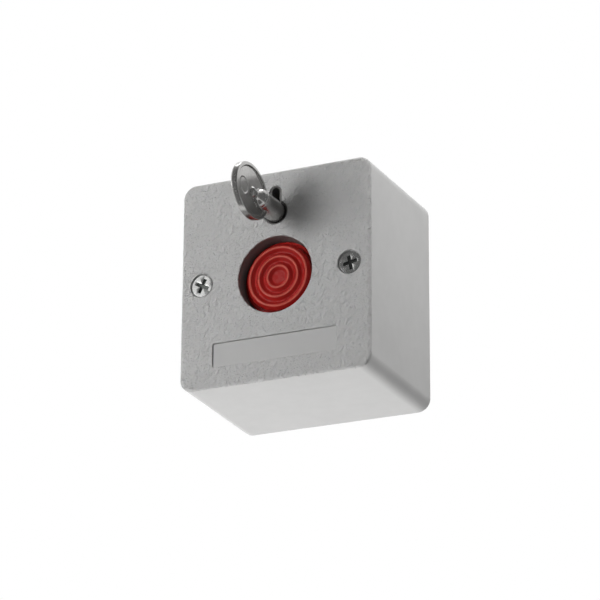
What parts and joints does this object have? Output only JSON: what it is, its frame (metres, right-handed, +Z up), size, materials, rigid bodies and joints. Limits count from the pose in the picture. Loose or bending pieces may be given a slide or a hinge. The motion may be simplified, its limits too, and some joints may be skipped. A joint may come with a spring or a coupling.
{
  "type": "panic button",
  "caption": "Wall-mounted panic button in a grey moulded box, with a round red push button that latches and a key above it that turns to reset it.",
  "frame": {"origin": "centre of the flat rear face, on the wall; the button's axis passes through it", "axes": "+Y points into the wall, +Z up, +X to the right seen from the front"},
  "size_m": [0.0498, 0.0574, 0.053],
  "materials": {
    "front_cover": "light grey moulded ABS, leather-grained face, smooth sides",
    "back_plate": "light grey moulded ABS, smooth",
    "cover_screws": "zinc plated steel",
    "key_guide": "black moulded nylon",
    "mechanism_frame": "natural acetal",
    "mechanism_cover": "natural acetal",
    "frame_screws": "zinc plated steel",
    "button_cap": "red moulded plastic, satin, with round ridges",
    "plunger": "natural acetal",
    "plunger_clip": "spring steel",
    "return_spring": "spring steel wire",
    "release_cam": "black moulded nylon",
    "cam_clip": "spring steel",
    "key": "nickel plated die-cast zinc, slightly worn",
    "latch_slide": "stamped steel",
    "latch_spring": "spring steel wire",
    "circuit_board": "green glass-fibre board",
    "board_screws": "zinc plated steel",
    "switch_body": "black moulded plastic",
    "switch_lever": "stamped spring steel",
    "switch_plunger": "red moulded plastic",
    "switch_pins": "tinned brass",
    "terminal_block": "green moulded plastic",
    "terminal_clamps": "nickel plated brass",
    "terminal_screws": "zinc plated steel",
    "terminal_pins": "tinned brass"
  },
  "bodies": {
    "housing": {"front_cover": "front_cover", "back_plate": "back_plate", "cover_screws": "cover_screws", "key_guide": "key_guide", "mechanism_frame": "mechanism_frame", "mechanism_cover": "mechanism_cover", "frame_screws": "frame_screws", "return_spring": "return_spring", "latch_spring": "latch_spring", "circuit_board": "circuit_board", "board_screws": "board_screws", "switch_body": "switch_body", "switch_pins": "switch_pins", "terminal_block": "terminal_block", "terminal_clamps": "terminal_clamps", "terminal_screws": "terminal_screws", "terminal_pins": "terminal_pins"},
    "button": {"button_cap": "button_cap", "plunger": "plunger", "plunger_clip": "plunger_clip"},
    "cam": {"release_cam": "release_cam", "cam_clip": "cam_clip"},
    "key": {"key": "key"},
    "latch": {"latch_slide": "latch_slide"},
    "lever": {"switch_lever": "switch_lever"},
    "actuator": {"switch_plunger": "switch_plunger"}
  },
  "joints": [
    {"name": "button_press", "type": "slide", "parent": "housing", "child": "button", "axis": [0, 1, 0], "range_m": [0, 0.003], "stiffness_N_per_m": 400, "springref_m": -0.001, "deforming": ["return_spring"]},
    {"name": "key_turn", "type": "hinge", "parent": "housing", "child": "cam", "pos_m": [0, -0.02, 0.01565], "axis": [0, 1, 0], "range_deg": [0, 80]},
    {"name": "key_withdraw", "type": "slide", "parent": "cam", "child": "key", "axis": [0, -1, 0], "range_m": [0, 0.014]},
    {"name": "latch_release", "type": "slide", "parent": "housing", "child": "latch", "axis": [0, 0, -1], "range_m": [0, 0.001], "stiffness_N_per_m": 50, "springref_m": -0.001, "deforming": ["latch_spring"]},
    {"name": "lever_swing", "type": "hinge", "parent": "housing", "child": "lever", "pos_m": [0, -0.0171, 0.0144], "axis": [1, 0, 0], "range_deg": [0, 11.41]},
    {"name": "actuator_press", "type": "slide", "parent": "housing", "child": "actuator", "axis": [0, 1, 0], "range_m": [0, 0.00079]}
  ],
  "couplings": [
    {"joint": "key_turn", "follows": "latch_release", "rad_per_m": 1396.3},
    {"joint": "lever_swing", "follows": "button_press", "rad_per_m": 66.317},
    {"joint": "actuator_press", "follows": "button_press", "ratio": 0.26267}
  ]
}
